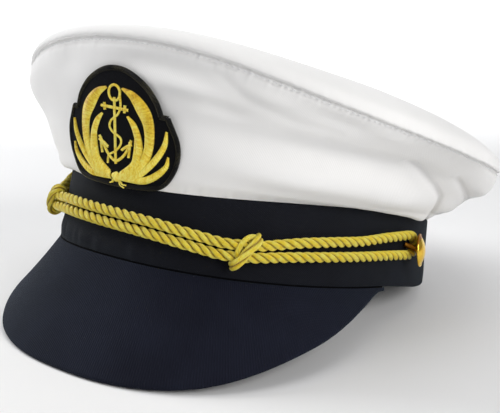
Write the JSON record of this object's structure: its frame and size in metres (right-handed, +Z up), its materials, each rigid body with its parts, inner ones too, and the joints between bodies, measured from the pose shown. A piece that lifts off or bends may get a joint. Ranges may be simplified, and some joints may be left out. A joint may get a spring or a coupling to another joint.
{
  "type": "captain hat",
  "caption": "Captain's hat with a wide white crown, dark band and sloping peak, gold cord strap on buttons and an embroidered anchor badge; open below for a head.",
  "frame": {"origin": "middle of the hat's footprint, on the surface it rests on", "axes": "+Z up, -Y the hat's front where the peak is, +X the wearer's left; the hat is pitched forwards on X until it rests on the peak's edge and the band's back"},
  "size_m": [0.2508, 0.2736, 0.15],
  "materials": {
    "white_cotton": "white cotton twill",
    "dark_twill": "dark navy twill",
    "gold_cord": "twisted yellow-gold cord",
    "gold_metal": "polished gold plate",
    "black_felt": "black felt with an overlocked edge",
    "gold_thread": "satin-stitched gold thread"
  },
  "bodies": {
    "root": {"crown_top": "white_cotton", "crown_side": "white_cotton", "band": "dark_twill", "peak": "dark_twill", "cord_strap": "gold_cord", "knot_left": "gold_cord", "knot_right": "gold_cord", "button_left": "gold_metal", "button_right": "gold_metal", "badge_patch": "black_felt", "wreath_left": "gold_thread", "wreath_right": "gold_thread", "wreath_tie": "gold_thread", "anchor": "gold_thread"}
  },
  "joints": []
}
